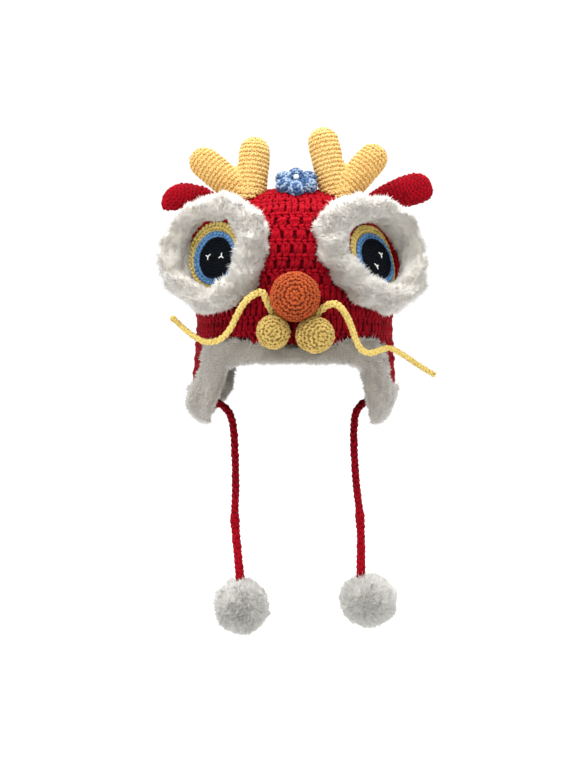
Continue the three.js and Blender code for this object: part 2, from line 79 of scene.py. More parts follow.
camera = put_in_scene("camera", bpy.data.cameras.new("camera"))
camera.data.lens, camera.data.sensor_width = CAMERA_LENS, CAMERA_SENSOR
camera.location = CAMERA_PLACE
camera.rotation_euler = (math.radians(90), 0, 0)
bpy.context.scene.camera = camera
bpy.context.scene.view_settings.view_transform = "Standard"


# The ties are crocheted cords of red cotton, worked as a narrow chain, sewn to the lower
# ends of the ear flaps and hanging free. Each ends in the middle of its pompom.
TIE_RADIUS, TIE_ROW, TIE_SHADE = 3.2 * mm, 4.4 * mm, (-300, -235)
TIE_KNOTS = {"left": 0.65, "right": 0.66}
TIE_ROUTES = {
    "left": [
        (-72, 32, -177), (-66, 30.5, -178), (-60.5, 27, -181.5), (-55.5, 23, -189),
        (-53, 20, -201), (-51.8, 16, -218), (-51, 13, -244), (-51.6, 11, -278),
        (-49.8, 10, -300), (-47.2, 10, -328), (-46.6, 10, -340),
    ],
    "right": [
        (72, 33, -174), (66, 31, -175), (60, 28, -177.5), (54.5, 24, -184),
        (52, 20, -196.5), (51.8, 16, -214), (53.4, 13, -244), (56.6, 11, -274),
        (57.6, 10, -296), (57.5, 10, -324), (58.5, 10, -336),
    ],
}


def route(points, step):
    """The smooth line through these points in millimetres, in even steps, in metres."""
    p = np.array(points, float) * mm
    p = np.vstack([2 * p[0] - p[1], p, 2 * p[-1] - p[-2]])
    t = np.linspace(0, 1, 40, endpoint=False)[:, None]
    fine = []
    for a, b, c, d in zip(p, p[1:], p[2:], p[3:]):
        square, cube = 2 * a - 5 * b + 4 * c - d, 3 * b - a - 3 * c + d
        fine.append(0.5 * (2 * b + (c - a) * t + square * t**2 + cube * t**3))
    fine = np.vstack([*fine, p[-2:-1]])
    along = np.append(0, np.cumsum(np.linalg.norm(np.diff(fine, axis=0), axis=1)))
    count = max(2, round(along[-1] / step) + 1)
    at = np.linspace(0, along[-1], count)
    return np.stack([np.interp(at, along, fine[:, i]) for i in range(3)], axis=1)


def unit(v):
    """A line, or each of several, at length one."""
    return v / np.maximum(np.linalg.norm(v, axis=-1, keepdims=True), 1e-12)


def shape_of(bm, rise=None):
    """A bmesh as plain lists that can be laid many times: its points, its faces, and its rise, the
    painted shade of each point, darker lower down, which goes by its height unless rise reckons it."""
    bm.verts.index_update()
    co = np.array([v.co[:] for v in bm.verts])
    loops = np.array([v.index for f in bm.faces for v in f.verts])
    sizes = np.array([len(f.verts) for f in bm.faces])
    if rise is None:
        low, high = co[:, 2].min(), co[:, 2].max()
        rise = (co[:, 2] - low) / max(high - low, 1e-9)
    else:
        rise = np.array([rise(v.co) for v in bm.verts])
    bm.free()
    return co, loops, sizes, rise


def strand(length, width, height, dip=0.35, sides=6, rings=3, blunt=3.2):
    """One loop of yarn where it lies over the fabric, in mm: round, with both blunt ends going
    down into the fabric by dip of its height."""
    bm = bmesh.new()
    bmesh.ops.create_uvsphere(bm, u_segments=sides, v_segments=rings, radius=0.5)
    bmesh.ops.rotate(bm, verts=bm.verts, matrix=Matrix.Rotation(math.radians(90), 3, "Y"))
    for v in bm.verts:
        across = math.hypot(v.co.y, v.co.z)
        if across > 1e-6:
            fuller = math.sqrt(max(0.0, 1 - abs(2 * v.co.x) ** blunt)) / (2 * across)
            v.co.y *= fuller
            v.co.z *= fuller
    bmesh.ops.scale(bm, verts=bm.verts, vec=(length * mm, width * mm, height * mm))
    for v in bm.verts:
        v.co.z -= dip * height * mm * (2 * v.co.x / (length * mm)) ** 2
    return shape_of(bm)


def laid(shape, places, axes, tone, slot=0):
    """Many copies of one shape: each has its place, three axes as columns, and a tone from 0 to 1."""
    co, loops, sizes, rise = shape
    n, v = len(places), len(co)
    points = (np.einsum("nij,vj->nvi", axes, co) + places[:, None, :]).reshape(-1, 3)
    return (
        points,
        (loops[None, :] + (np.arange(n) * v)[:, None]).ravel(),
        np.tile(sizes, n),
        np.repeat(tone, v),
        np.tile(rise, n),
        np.full(n * len(sizes), slot),
    )


def points_of(mesh, field="co"):
    """A mesh's points, or its normals, as one array."""
    values = np.empty(len(mesh.vertices) * 3)
    mesh.vertices.foreach_get(field, values)
    return values.reshape(-1, 3)


def base_part(mesh, slot, rise=0.0):
    """A mesh as a part of a piece, to lie under its stitches. rise says how light its painted shade is: at 0 it
    is as dark as yarn deep in the fabric.
    """
    loops, sizes = np.empty(len(mesh.loops), int), np.empty(len(mesh.polygons), int)
    mesh.loops.foreach_get("vertex_index", loops)
    mesh.polygons.foreach_get("loop_total", sizes)
    count = len(mesh.vertices)
    return points_of(mesh), loops, sizes, np.full(count, 0.5), np.full(count, rise), np.full(len(sizes), slot)


def as_part(shape, slot=0, tone=0.3):
    """A shape as a part of a piece, laid once where it is."""
    co, loops, sizes, rise = shape
    return co, loops, sizes, np.full(len(co), tone), rise, np.full(len(sizes), slot)


PILE_SOFTNESS = 0.9


def gathered(node, kind, parts, materials, slot, lit=None):
    """One piece of the hat from its base and its stitches or pile, which stands for a CAD node.
    lit is the way out of the form at each point, which soft pile is shaded by."""
    mesh = bpy.data.meshes.new(f"{node}_{kind}")
    points, loops, sizes, tones, rises, slots = zip(*parts)
    firsts = np.cumsum([0] + [len(p) for p in points])
    loops = np.concatenate([own + first for own, first in zip(loops, firsts)])
    points, sizes = np.vstack(points), np.concatenate(sizes)
    mesh.vertices.add(len(points))
    mesh.loops.add(len(loops))
    mesh.polygons.add(len(sizes))
    mesh.vertices.foreach_set("co", points.astype(np.float32).ravel())
    mesh.loops.foreach_set("vertex_index", loops.astype(np.int32))
    mesh.polygons.foreach_set("loop_start", np.append(0, np.cumsum(sizes)[:-1]).astype(np.int32))
    mesh.polygons.foreach_set("material_index", np.concatenate(slots).astype(np.int32))
    mesh.update(calc_edges=True)
    for field, values in (("tone", tones), ("rise", rises)):
        held = mesh.attributes.new(field, "FLOAT", "POINT")
        held.data.foreach_set("value", np.concatenate(values).astype(np.float32))
    mesh.shade_smooth()
    if lit is not None:
        own = np.empty(len(points) * 3, np.float32)
        mesh.vertex_normals.foreach_get("vector", own)
        softened = unit(own.reshape(-1, 3) * (1 - PILE_SOFTNESS) + lit * PILE_SOFTNESS)
        mesh.normals_split_custom_set_from_vertices(softened)
    for material in materials:
        mesh.materials.append(material)
    piece = put_in_scene(mesh.name, mesh)
    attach(piece, "root")
    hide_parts(node)
    return piece


def linear(r, g, b):
    """A colour named by its 0 to 255 values, as the shader takes it."""
    return [((c / 255 + 0.055) / 1.055) ** 2.4 if c > 10 else c / 3294 for c in (r, g, b)] + [1]


def new_material(name):
    """A material with its node tree's nodes and links, and its shader."""
    material = bpy.data.materials.new(name)
    material.use_nodes = True
    tree = material.node_tree
    return material, tree.nodes, tree.links, tree.nodes["Principled BSDF"]


def set_inputs(node, values):
    """A node's inputs set by their names."""
    for name, value in values.items():
        node.inputs[name].default_value = value


def yarn(name, light, dark, sheen=0.2, fibre=2200, patches=70, gloss=0.2):
    """Soft cotton yarn with painted shade: lighter on top of each loop, darker where it goes into
    the fabric, by its rise. It has fine fibres and faint patches, whose sizes fibre and patches set."""
    material, nodes, links, shader = new_material(name)
    set_inputs(shader, {"Roughness": 0.85, "Specular IOR Level": gloss})
    set_inputs(shader, {"Sheen Weight": sheen, "Sheen Roughness": 0.6, "Sheen Tint": linear(*light)})
    place = nodes.new("ShaderNodeTexCoord")
    tone, rise = nodes.new("ShaderNodeAttribute"), nodes.new("ShaderNodeAttribute")
    tone.attribute_name, rise.attribute_name = "tone", "rise"
    patch, fibres = nodes.new("ShaderNodeTexNoise"), nodes.new("ShaderNodeTexNoise")
    set_inputs(patch, {"Scale": patches})
    set_inputs(fibres, {"Scale": fibre, "Detail": 3})
    for noise in (patch, fibres):
        links.new(place.outputs["Object"], noise.inputs["Vector"])
    # Each point's lightness: its random tone, with any light and shade that shaded() paints into it, then its
    # rise, which paints shade low in the fabric, then the patches and fibres.
    lightness, darker = None, -0.45
    for source, weight in ((tone, 0.5), (rise, 0.85), (patch, 0.3), (fibres, 0.3)):
        added = nodes.new("ShaderNodeMath")
        added.operation = "MULTIPLY_ADD"
        added.inputs[1].default_value = weight
        if lightness is None:
            added.inputs[2].default_value = darker
        else:
            links.new(lightness, added.inputs[2])
        links.new(source.outputs["Fac"], added.inputs[0])
        lightness = added.outputs[0]
    colour = nodes.new("ShaderNodeMix")
    colour.data_type, colour.clamp_factor = "RGBA", True
    set_inputs(colour, {"A": linear(*dark), "B": linear(*light)})
    links.new(lightness, colour.inputs["Factor"])
    links.new(colour.outputs["Result"], shader.inputs["Base Color"])
    bump = nodes.new("ShaderNodeBump")
    set_inputs(bump, {"Strength": 0.5, "Distance": 0.3 * mm})
    links.new(fibres.outputs["Fac"], bump.inputs["Height"])
    links.new(bump.outputs["Normal"], shader.inputs["Normal"])
    return material


chance = np.random.default_rng(8)
UNEVEN_PLACE, UNEVEN_TILT, UNEVEN_SIZE = 0.12 * mm, 4, 0.05


def pair(lift, tilt, length=1.0, apart=0.25):
    """The two strands of a plain stitch, which lean together at its top."""
    return [(-apart, 0, lift, tilt, length), (apart, 0, lift, 180 - tilt, length)]


def crochet(stitches, pattern, shape, slot=0, wobble=1.0):
    """Each stitch laid as its strands. pattern gives for each strand how far it lies across in
    stitch widths, up in rows and out in mm, its tilt in degrees, and its share of shape's length."""
    places, axes, widths, row = stitches[:4]
    right, above, out = axes[:, :, 0], axes[:, :, 1], axes[:, :, 2]
    n = len(places)
    parts = []
    for across, up, lift, tilt, length in pattern:
        shift = chance.normal(0, UNEVEN_PLACE * wobble, (n, 3))
        lies = np.radians(tilt + chance.normal(0, UNEVEN_TILT * wobble, n))
        grown = 1 + chance.normal(0, UNEVEN_SIZE * wobble, n)
        at = places + right * (across * widths)[:, None] + above * up * row + out * lift * mm + shift
        x = right * np.cos(lies)[:, None] + above * np.sin(lies)[:, None]
        y = -right * np.sin(lies)[:, None] + above * np.cos(lies)[:, None]
        turned = [x * (length * grown)[:, None], y * grown[:, None], out * grown[:, None]]
        parts.append(laid(shape, at, np.stack(turned, axis=2), chance.random(n), slot))
    return parts


def shaded(part, heights, tones):
    """A part with light and shade painted into its stitches' or pile's tone by height, between two heights in
    mm.
    """
    by_height = np.interp(part[0][:, 2], np.array(heights) * mm, tones)
    return (*part[:3], part[3] * 0.5 + by_height * 0.5, *part[4:])


def sections(line, radius):
    """A cord's line point by point: the place, the way ahead, two axes across it, and the radius,
    which runs from the line's start to its end."""
    ahead = unit(np.gradient(line, axis=0))
    side = unit(np.cross(ahead[0], [0.3, 0.2, 1.0]))
    for i, (place, way) in enumerate(zip(line, ahead)):
        side = unit(side - way * (side @ way))
        yield place, way, side, np.cross(way, side), radius(i / (len(line) - 1))


def along(line, radius, row, around):
    """Stitches round a cord, in even rows along its line."""
    places, axes, widths = [], [], []
    for i, (place, way, side, over, r) in enumerate(sections(line, radius)):
        for k in range(around):
            turn = 2 * math.pi * (k + 0.5 * (i % 2)) / around
            out = side * math.cos(turn) + over * math.sin(turn)
            places.append(place + out * r)
            axes.append(np.stack([np.cross(-way, out), -way, out], axis=1))
            widths.append(2 * math.pi * r / around)
    return np.array(places), np.array(axes), np.array(widths), row


def tube(line, radius, sides=8):
    """The plain round core of a cord, under its stitches, closed at both ends."""
    bm = bmesh.new()
    before = None
    for place, way, side, over, r in sections(line, radius):
        now = Matrix((*np.stack([side * r, over * r, way, place], axis=1), (0, 0, 0, 1)))
        if before is None:
            bmesh.ops.create_circle(bm, segments=sides, radius=1, cap_ends=True, matrix=now)
            ring = bm.faces[:]
        else:
            grown = bmesh.ops.extrude_face_region(bm, geom=ring)["geom"]
            ring = [g for g in grown if isinstance(g, bmesh.types.BMFace)]
            moved = [g for g in grown if isinstance(g, bmesh.types.BMVert)]
            bmesh.ops.transform(bm, matrix=now @ before.inverted(), verts=moved)
        before = now
    bmesh.ops.recalc_face_normals(bm, faces=bm.faces)
    # The core has a low rise: painted shade, dark like yarn deep under the stitches.
    return shape_of(bm, rise=lambda co: 0.1)


red_yarn = yarn("red yarn", light=(160, 1, 22), dark=(70, 0, 10), sheen=0.06, gloss=0.1)
tie_strand = strand(7.2, 3.2, 2.6)
for side, points in TIE_ROUTES.items():
    line = route(points, TIE_ROW)

    def thick(share):
        """The tie's radius: more from 0.6 of its length on, and most at its knot."""
        knot = math.exp(-(((share - TIE_KNOTS[side]) / 0.03) ** 2))
        return (2.5 + max(0.0, share - 0.6) * 2.2 + 0.9 * knot) * mm

    # Painted shade: the ties are darker towards their tops, which hang under the flaps, and lighter lower down.
    core = shaded(as_part(tube(line, thick), tone=1.2), TIE_SHADE, (1.6, 0.6))
    stitches = crochet(along(line, thick, TIE_ROW, around=4), pair(-0.5, 66), tie_strand)
    stitches = [shaded(part, TIE_SHADE, (0.6, -0.6)) for part in stitches]
    gathered(f"tie_{side}", "cord", [core, *stitches], [red_yarn], "red_yarn")


# The crown is one piece of red crochet from the top down: dense short rounds over the top,
# then tall rounds with openings between pairs of posts, then plain tall rounds and flaps.
def skin_of(node, voxel, shrink=0.0, smooth=6, thicken=0.0):
    """A CAD solid with its facets worn smooth, as a mesh: what yarn or pile is laid on. thicken,
    in mm, is put on first, so that no thin wall is lost, and shrink is taken off at the end."""
    source = put_in_scene(node + " form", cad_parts[node].data.copy())
    weld = source.modifiers.new("weld", "WELD")
    weld.merge_threshold = 0.01 * mm
    if thicken:
        outwards = source.modifiers.new("out", "DISPLACE")
        outwards.strength, outwards.mid_level = thicken * mm, 0
    remesh = source.modifiers.new("even", "REMESH")
    remesh.mode, remesh.voxel_size = "VOXEL", voxel * mm
    rounding = source.modifiers.new("soft", "SMOOTH")
    rounding.factor, rounding.iterations = 0.5, smooth
    if shrink:
        inwards = source.modifiers.new("in", "DISPLACE")
        inwards.strength, inwards.mid_level = -shrink * mm, 0
    graph = bpy.context.evaluated_depsgraph_get()
    mesh = bpy.data.meshes.new_from_object(source.evaluated_get(graph))
    bpy.data.objects.remove(source)
    return mesh


def tree_of(mesh):
    """A mesh as a tree of its faces, which tells where a line meets it."""
    return BVHTree.FromPolygons([v.co[:] for v in mesh.vertices], [p.vertices[:] for p in mesh.polygons])


def met(tree, centre, direction, far):
    """Where a line from outside, looking back along direction to centre, first meets the skin,
    and the way out there."""
    place, out, _, _ = tree.ray_cast(Vector(centre + direction * far), Vector(-direction), far)
    return None if place is None else (np.array(place), np.array(out))


def rounds(
    tree, centre, pole, row, stitch, sweep=180.0, shaft=0.0, first=0.6, oval=(1.0, 1.0),
    ahead=(0, 0, 1), far=120 * mm, widest=None,
):
    """Stitches worked round and round a soft form from its pole, with rows and stitches of so
    many mm: their places, axes, widths and row, then their own and their rounds' numbers. They
    end sweep degrees from the pole. At 90 degrees they go on straight for shaft mm. first is
    where the first round lies, in rows, and oval the form's shape across the pole. Each round
    starts across from ahead, which can't be the pole's own way. far is how far out the form may
    reach, in metres, and widest how far off the centre a stitch may be, in mm."""
    centre, pole = np.array(centre, float), unit(np.array(pole, float))
    u = unit(np.cross(np.array(ahead, float), pole))
    v = np.cross(pole, u)

    def look(t, turn):
        lean = math.radians(min(t, 90.0) if t <= 90 + shaft else t - shaft)
        back = min(max(t - 90.0, 0.0), shaft)
        flat = unit(oval[0] * math.cos(turn) * u + oval[1] * math.sin(turn) * v)
        return centre - pole * back * mm, math.cos(lean) * pole + math.sin(lean) * flat

    def hit(t, turn):
        origin, direction = look(t, turn)
        found = met(tree, origin, direction, far)
        if found is None or (found[0] - origin) @ direction < 0.5 * mm:
            return None
        if widest and np.linalg.norm(found[0] - origin) > widest * mm:
            return None
        return found

    steps = np.arange(0, sweep + shaft + 0.1, 1.5)
    lines = [[hit(t, turn) for t in steps] for turn in np.radians([10, 70, 100, 190, 250, 280])]
    run = [0.0]
    for i in range(1, len(steps)):
        gone = [np.linalg.norm(line[i][0] - line[i - 1][0]) for line in lines if line[i] and line[i - 1]]
        run.append(run[-1] + (float(np.median(gone)) if gone else 0))
    looks = np.linspace(0, 2 * math.pi, 49)
    places, axes, widths, numbers, rows = [], [], [], [], []
    for i in range(int(run[-1] / (row * mm))):
        t = np.interp((i + first) * row * mm, run, steps)
        ring = [hit(t, turn) for turn in looks]
        gaps = np.array([np.linalg.norm(b[0] - a[0]) if a and b else 0 for a, b in zip(ring, ring[1:])])
        known = gaps[gaps > 0]
        if not len(known):
            continue
        gaps[gaps == 0] = np.median(known)
        round_run = np.append(0, np.cumsum(gaps))
        n = max(4, 2 * round(round_run[-1] / (2 * stitch * mm)))
        at = (np.arange(n) + 0.5 * (i % 2)) / n * round_run[-1]
        for k, turn in enumerate(np.interp(at, round_run, looks)):
            found, nearby, above = hit(t, turn), hit(t, turn + 0.02), hit(max(t - 2, 0.5), turn)
            if found is None or nearby is None or above is None:
                continue
            out = found[1]
            up = above[0] - found[0]
            up = unit(up - out * (up @ out))
            places.append(found[0])
            axes.append(np.stack([np.cross(up, out), up, out], axis=1))
            widths.append(round_run[-1] / n)
            numbers.append(k)
            rows.append(i)
    return np.array(places), np.array(axes), np.array(widths), row * mm, np.array(numbers), np.array(rows)


def bare(stitches, cover, reach=12 * mm):
    """Which stitches aren't under a piece that is worked or sewn over them."""
    return np.array([
        cover.ray_cast(Vector(p + a[:, 2] * reach), Vector(-a[:, 2]), reach + 0.2 * mm)[0] is None
        for p, a in zip(*stitches[:2])
    ])


def chosen(stitches, which):
    """Some of the stitches."""
    places, axes, widths, row = stitches[:4]
    return places[which], axes[which], widths[which], row


EQUATOR, UPWARDS = np.array([0, 0, -90]) * mm, np.array([0, 0, 1.0])
CROWN_WIDTH, CROWN_DEPTH, CROWN_STRAIGHT = 83.3, 90, 115
TALL_ROW, POST_WIDTH = 12.4, 5.3
TO_ITS_PAIR = {"dense": 0.06, "open": 0.16, "plain": 0.04}
START_ROW, START_STITCH = 3.4, 4.6
RIDGE, DENSE_ABOVE, LOOPED_ABOVE, PLAIN_BELOW = -35.3 * mm, -28 * mm, -34 * mm, -82 * mm
crown_tree = tree_of(skin_of("crown", 3.0))
sewn_over = [(tree_of(skin_of("plush_edging", 2.6, shrink=2.2)), 12 * mm)]
for side in ("left", "right"):
    for part in ("pad", "collar"):
        sewn_over.append((tree_of(skin_of(f"eye_{part}_{side}", 3.0)), 5 * mm))
views = [np.array([0, -math.sin(a), math.cos(a)]) for a in np.radians(np.arange(0.5, 90))]
front = np.array([met(crown_tree, EQUATOR, view, 0.3)[0] for view in views])
front = front[front[:, 2] > RIDGE]
ridge = np.linalg.norm(np.diff(front, axis=0), axis=1).sum() / (TALL_ROW * mm) % 1


def crown_rounds(row, stitch, sweep=90.0, **more):
    """Rounds worked down the crown from the middle of its top."""
    return rounds(crown_tree, EQUATOR, UPWARDS, row, stitch, sweep, ahead=(0, 1, 0), far=0.3, **more)


tall = dict(shaft=CROWN_STRAIGHT, oval=(CROWN_WIDTH, CROWN_DEPTH))
chains = crown_rounds(TALL_ROW, POST_WIDTH, first=ridge, **tall)
posts = crown_rounds(TALL_ROW, POST_WIDTH, first=ridge + 0.5, **tall)
height, numbers, rows = posts[0][:, 2], posts[4], posts[5]
close = np.where(height > PLAIN_BELOW, TO_ITS_PAIR["open"], TO_ITS_PAIR["plain"])
close = np.where(height > DENSE_ABOVE, TO_ITS_PAIR["dense"], close)
aside = np.where((numbers + rows) % 2, 1, -1) * close * posts[2]
posts = (posts[0] + posts[1][:, :, 0] * aside[:, None], *posts[1:4])
for cover, reach in sewn_over:
    chains, posts = (chosen(some, bare(some, cover, reach)) for some in (chains, posts))
plain, looped = chains[0][:, 2] < PLAIN_BELOW, posts[0][:, 2] > LOOPED_ABOVE

loop_strand = strand(7.0, 3.7, 3.3)
post_strand = strand(11.2, 3.1, 3.5, dip=0.12, rings=4)
twist_strand = strand(6.0, 2.6, 2.6, sides=5)
open_chain = [(0.0, 0.08, 0.3, 14, 1.0), (0.1, -0.12, 0.0, -16, 1.0)]
plain_chain = [(0.0, 0.08, -0.3, 18, 0.9), (0.1, -0.1, -0.6, -18, 0.9)]
crown_parts = []
for stitches, pattern, shape, wobble in (
    (chosen(chains, ~plain), open_chain, loop_strand, 1.5),
    (chosen(chains, plain), plain_chain, loop_strand, 1.5),
    (posts, pair(-0.4, 87, apart=0.16), post_strand, 1.3),
    (posts, [(0, -0.02, 0.7, 58, 1.0)], twist_strand, 1.5),
    (crown_rounds(START_ROW, START_STITCH, sweep=6), pair(-0.3, 60, 0.75), loop_strand, 1.0),
    (chosen(posts, looped), [(0, 0.05, 0.5, 12, 1.0)], loop_strand, 1.8),
):
    crown_parts += crochet(stitches, pattern, shape, wobble=wobble)
# Painted light and shade: the crown's stitches are lighter towards the top, where the light from above falls,
# and darker lower down.
crown_parts = [shaded(part, heights=(-80, -25), tones=(-0.9, 0.8)) for part in crown_parts]
LINING_RADIUS = 85


def worked_inside(material, row, stitches):
    """The same rounds seen from inside, as relief and as painted shade between them: bars row mm
    apart, with so many stitches in the widest round."""
    nodes, links = material.node_tree.nodes, material.node_tree.links

    def reckon(operation, *values):
        node = nodes.new("ShaderNodeMath")
        node.operation = operation
        for socket, value in zip(node.inputs, values):
            if isinstance(value, bpy.types.NodeSocket):
                links.new(value, socket)
            else:
                socket.default_value = value
        return node.outputs[0]

    place, parted = nodes.new("ShaderNodeTexCoord"), nodes.new("ShaderNodeSeparateXYZ")
    links.new(place.outputs["Object"], parted.inputs[0])
    x, y = parted.outputs["X"], parted.outputs["Y"]
    above = reckon("SUBTRACT", parted.outputs["Z"], float(EQUATOR[2]))
    from_axis = reckon("SQRT", reckon("ADD", reckon("MULTIPLY", x, x), reckon("MULTIPLY", y, y)))
    lean = reckon("ARCTAN2", from_axis, reckon("MAXIMUM", above, 0.0))
    down = reckon("MULTIPLY", lean, LINING_RADIUS * mm)
    down = reckon("SUBTRACT", down, reckon("MINIMUM", above, 0.0))
    rows = reckon("DIVIDE", down, row * mm)
    number = reckon("FLOOR", rows)
    from_pole = reckon("MINIMUM", reckon("MULTIPLY", number, row / LINING_RADIUS), math.pi / 2)
    count = reckon("ROUND", reckon("MULTIPLY", reckon("SINE", from_pole), stitches))
    turn = reckon("MULTIPLY", reckon("ARCTAN2", y, x), reckon("DIVIDE", count, 2 * math.pi))
    turn = reckon("ADD", turn, reckon("MULTIPLY", number, 0.5))
    bar = reckon("ABSOLUTE", reckon("SINE", reckon("MULTIPLY", rows, math.pi)))
    post = reckon("ABSOLUTE", reckon("SINE", reckon("MULTIPLY", turn, math.pi)))
    relief = reckon("POWER", reckon("MULTIPLY", bar, post), 0.5)
    bump = nodes.new("ShaderNodeBump")
    set_inputs(bump, {"Strength": 1.0, "Distance": 1.6 * mm})
    shader = nodes["Principled BSDF"]
    links.new(relief, bump.inputs["Height"])
    links.new(shader.inputs["Normal"].links[0].from_socket, bump.inputs["Normal"])
    links.new(bump.outputs["Normal"], shader.inputs["Normal"])
    # Painted shade: the lining is darker in the grooves between its stitches.
    shade = nodes.new("ShaderNodeMix")
    shade.data_type = "RGBA"
    set_inputs(shade, {"A": linear(58, 0, 8)})
    links.new(relief, shade.inputs["Factor"])
    links.new(shader.inputs["Base Color"].links[0].from_socket, shade.inputs["B"])
    links.new(shade.outputs["Result"], shader.inputs["Base Color"])


lining_red = yarn("red yarn lining", light=(150, 3, 20), dark=(96, 0, 12), sheen=0, patches=180, gloss=0.05)
worked_inside(lining_red, row=TALL_ROW / 2, stitches=100)
# The crown's base has rise 0: painted shade where it shows between the stitches.
crown_base = base_part(skin_of("crown", 3.6, shrink=1.1), 1)
gathered("crown", "crochet", [crown_base, *crown_parts], [red_yarn, lining_red], "red_yarn")


# The edging is a band of white plush yarn worked on the red lower edge, wide on the flaps;
# its short pile hangs down and outwards, and lines the rim inside too.
def tuft():
    """One lock of pile, a unit long: a slim three-sided point."""
    bm = bmesh.new()
    bmesh.ops.create_cone(bm, cap_ends=True, segments=3, radius1=1, radius2=0, depth=1)
    bmesh.ops.translate(bm, verts=bm.verts, vec=(0, 0, 0.5))
    bmesh.ops.remove_doubles(bm, verts=bm.verts, dist=0.01)
    # Its rise goes from root to tip: painted shade, darker at the roots of the pile.
    return shape_of(bm, rise=lambda co: co.z)


def scattered(mesh, count):
    """Even random places all over a form, with the way out at each."""
    mesh.calc_loop_triangles()
    corners = np.array([t.vertices[:] for t in mesh.loop_triangles])
    co, normals = points_of(mesh), points_of(mesh, "normal")
    a, b, c = (co[corners[:, i]] for i in range(3))
    area = np.linalg.norm(np.cross(b - a, c - a), axis=1)
    at = (np.arange(count) + chance.random(count)) / count
    on = corners[np.searchsorted(np.cumsum(area) / area.sum(), at).clip(0, len(area) - 1)]
    r, s = chance.random(count), chance.random(count)
    over = r + s > 1
    r[over], s[over] = 1 - r[over], 1 - s[over]
    share = np.stack([1 - r - s, r, s], axis=1)[:, :, None]
    return (share * co[on]).sum(1), unit((share * normals[on]).sum(1))


def sway(places, wave):
    """A gentle flow over the pile, so that neighbouring locks lean alike. wave is its size in mm."""
    flow = np.zeros_like(places)
    for _ in range(6):
        ahead = unit(chance.normal(size=3)) * 2 * math.pi / (wave * mm) * chance.uniform(0.6, 1.5)
        flow += np.sin(places @ ahead + chance.uniform(0, 6.28))[:, None] * unit(chance.normal(size=3))
    return flow / 2.4


LOCK_TUFTS, LOCK_HOLLOW, LONG_SHARE, LONG_TUFT = 40, 0.16, 0.08, 1.3


def pile(
    core, mesh, count, length, width, sink, lean, ragged, wave=8, hang=(0, 0, 0), gather=0.25,
    trim=None, kept=None,
):
    """A core with plush pile all over it: count tufts, length and width in mm, each rooted sink
    mm under the form. lean, ragged and hang say how far they stray from standing straight out,
    wave how far apart, in mm, and gather how much they draw together into locks. trim shortens
    them by place and way out, and kept leaves some out. Also gives the way out at each point."""
    places, out = scattered(mesh, count)
    if kept:
        which = kept(places, out)
        places, out, count = places[which], out[which], int(which.sum())
    locks, _ = scattered(mesh, count // LOCK_TUFTS)
    near = KDTree(len(locks))
    for i, p in enumerate(locks):
        near.insert(p, i)
    near.balance()
    found = [near.find(p) for p in places]
    to_lock = np.array([locks[number] for _, number, _ in found]) - places
    apart = np.array([distance for _, _, distance in found])
    at_edge = (apart / np.median(apart)).clip(0, 2) - 1
    flow = lean * sway(places, wave)
    drawn = gather * to_lock / (length * mm)
    way = unit(out + flow + drawn + np.array(hang) + chance.normal(0, ragged, (count, 3)))
    side = unit(np.cross(way, chance.normal(size=(count, 3))))
    long = length * mm * chance.normal(1, 0.15, count).clip(0.6, 1.45) * (1 + 0.16 * sway(places, 13)[:, 0])
    long = long * np.where(chance.random(count) < LONG_SHARE, LONG_TUFT, 1) * (1 - LOCK_HOLLOW * at_edge)
    if trim:
        long = long * trim(places, out)
    wide = width / 2 * mm * chance.normal(1, 0.15, count).clip(0.6, 1.5)
    axes = [side * wide[:, None], np.cross(way, side) * wide[:, None], way * long[:, None]]
    # Painted shade: tufts at the edges of each lock are darker, those in its middle lighter; the rest of the
    # tone varies at random.
    tone = 0.5 + 0.3 * sway(places, 5)[:, 1] - 0.3 * at_edge + chance.normal(0, 0.12, count)
    tufts = laid(tuft(), places - out * sink * mm, np.stack(axes, axis=2), tone.clip(-0.4, 1.1))
    ways_out = np.repeat(unit(out + flow), len(tufts[0]) // count, axis=0)
    # The core under the pile has rise 0: painted shade at the roots.
    return [base_part(core, 0), tufts], np.vstack([points_of(core, "normal"), ways_out])


def plush(name, light=(254, 249, 238), dark=(238, 228, 211)):
    """White plush yarn: painted shade makes it lighter at the tips of its pile and greyer at the roots, with
    faint patches.
    """
    material = yarn(name, light, dark, sheen=0.35, fibre=900, patches=170)
    shader = material.node_tree.nodes["Principled BSDF"]
    set_inputs(shader, {"Roughness": 1, "Specular IOR Level": 0.1, "Subsurface Weight": 0.6})
    set_inputs(shader, {"Subsurface Radius": (1, 1, 1), "Subsurface Scale": 3 * mm})
    return material


def ragged_top(places, out):
    """The edging's pile is long where it stands up over the red crown."""
    return 1 + 1.3 * np.clip(out[:, 2] - 0.2, 0, 0.6)


# The edging's plush is a greyer copy of the white plush: painted shade, where the collars and crown above keep
# light off it.
edging_plush_in_shade = plush("white plush edging in painted shade", light=(190, 184, 174), dark=(150, 143, 132))
(base, tufts), lit = pile(
    skin_of("plush_edging", 2.8, shrink=0.4), skin_of("plush_edging", 2.6), count=27000,
    length=3.0, width=1.5, sink=1.3, lean=0.35, ragged=0.14, hang=(0, 0, -0.35), gather=0.1, trim=ragged_top,
)
# Painted shade: the pile is darker lower down, on the flaps.
parts = [base, shaded(tufts, heights=(-175, -145), tones=(-1.3, 0.5))]
gathered("plush_edging", "pile", parts, [edging_plush_in_shade], "white_plush", lit)


# Each eye stands on a stuffed red pad sewn to the crown. Flat crocheted discs are sewn on
# it in a stack: a lemon one, a light blue one and a black one with two small white stitches.
def flattened(away, facing):
    """The part of each of these lines that lies across the way something faces."""
    return away - np.outer(away @ facing, facing)


def across_and_up(facing):
    """The two level axes of a flat thing that faces this way."""
    right = unit(np.cross([0, 0, 1.0], facing))
    return right, np.cross(facing, right)


